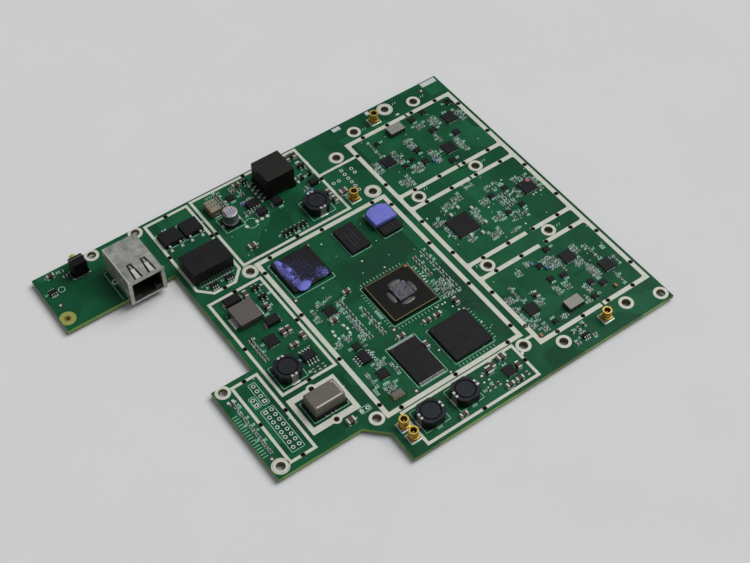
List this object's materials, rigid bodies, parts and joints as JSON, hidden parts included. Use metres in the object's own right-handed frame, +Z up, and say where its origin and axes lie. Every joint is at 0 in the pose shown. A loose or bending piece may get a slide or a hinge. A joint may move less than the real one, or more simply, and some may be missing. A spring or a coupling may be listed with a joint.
{
  "type": "printed circuit board",
  "caption": "Green circuit board with two arms and a cut corner, shield tracks, a network socket, transformers, coils, coaxial connectors and mounted chips.",
  "frame": {"origin": "under the middle of the board outline, at the level of the lead tips the board stands on", "axes": "+X along the long side towards the radio cells, +Y towards the edge with the network socket and indicator, +Z up out of the component side"},
  "size_m": [0.196, 0.151, 0.0153],
  "materials": {
    "laminate": "green solder mask over glass-epoxy laminate",
    "tinned_track": "dull tinned copper",
    "solder_land": "reflowed solder",
    "nickel_shell": "nickel-plated stamped sheet",
    "socket_plastic": "moulded black nylon",
    "gold_plate": "gold plate",
    "black_plastic": "moulded black plastic",
    "led_epoxy": "tinted clear epoxy",
    "tinned_lead": "matte tin plate",
    "moulded_epoxy": "moulded epoxy compound",
    "core_tape": "black varnished ferrite core with its tape",
    "tan_epoxy": "beige moulded epoxy",
    "aluminium_can": "drawn aluminium, dark lacquered side",
    "ferrite": "sintered ferrite",
    "coil_epoxy": "pressed iron powder",
    "steel_can": "plated steel",
    "package_ceramic": "fired alumina",
    "resonator_ceramic": "silvered dielectric ceramic",
    "ptfe": "white fluoropolymer",
    "chip_substrate": "dark organic substrate",
    "silicon": "ground silicon",
    "gap_pad": "soft silicone gap filler",
    "capacitor_ceramic": "fired titanate ceramic",
    "resistor_glaze": "black glass overcoat"
  },
  "bodies": {
    "root": {"board": "laminate", "power_cell_tracks": "tinned_track", "converter_cell_track": "tinned_track", "core_cell_track": "tinned_track", "clock_cell_tracks": "tinned_track", "edge_cell_track": "tinned_track", "radio_cell_tracks": "tinned_track", "mounting_lands": "tinned_track", "header_lands": "solder_land", "fiducials": "solder_land", "leadless_pads": "solder_land", "jack_shell": "nickel_shell", "jack_insert": "socket_plastic", "jack_contacts": "gold_plate", "coax_shells": "gold_plate", "coax_pins": "gold_plate", "indicator_housing": "black_plastic", "electrolytic_base": "black_plastic", "flyback_bobbin": "black_plastic", "oscillator_base": "black_plastic", "indicator_led": "led_epoxy", "indicator_leads": "tinned_lead", "lan_transformer_leads": "tinned_lead", "power_transistor_leads": "tinned_lead", "flyback_pins": "tinned_lead", "tantalum_terminals": "tinned_lead", "electrolytic_leads": "tinned_lead", "drum_coil_clips": "tinned_lead", "moulded_coil_terminals": "tinned_lead", "diode_terminals": "tinned_lead", "soic_leads": "tinned_lead", "sot_leads": "tinned_lead", "flash_leads": "tinned_lead", "chip_end_caps": "tinned_lead", "chip_balls": "tinned_lead", "lan_transformer_body": "moulded_epoxy", "power_transistor_bodies": "moulded_epoxy", "diode_bodies": "moulded_epoxy", "soic_bodies": "moulded_epoxy", "sot_bodies": "moulded_epoxy", "leadless_bodies": "moulded_epoxy", "memory_bodies": "moulded_epoxy", "array_bodies": "moulded_epoxy", "flash_body": "moulded_epoxy", "flyback_core": "core_tape", "tantalum_body": "tan_epoxy", "electrolytic_can": "aluminium_can", "drum_coil_cores": "ferrite", "moulded_coil_body": "coil_epoxy", "oscillator_can": "steel_can", "crystal_lid": "steel_can", "filter_plates": "steel_can", "crystal_base": "package_ceramic", "filter_blocks": "resonator_ceramic", "coax_insulators": "ptfe", "processor_substrate": "chip_substrate", "processor_die": "silicon", "heat_pads": "gap_pad", "capacitor_bodies": "capacitor_ceramic", "resistor_bodies": "resistor_glaze"}
  },
  "joints": []
}
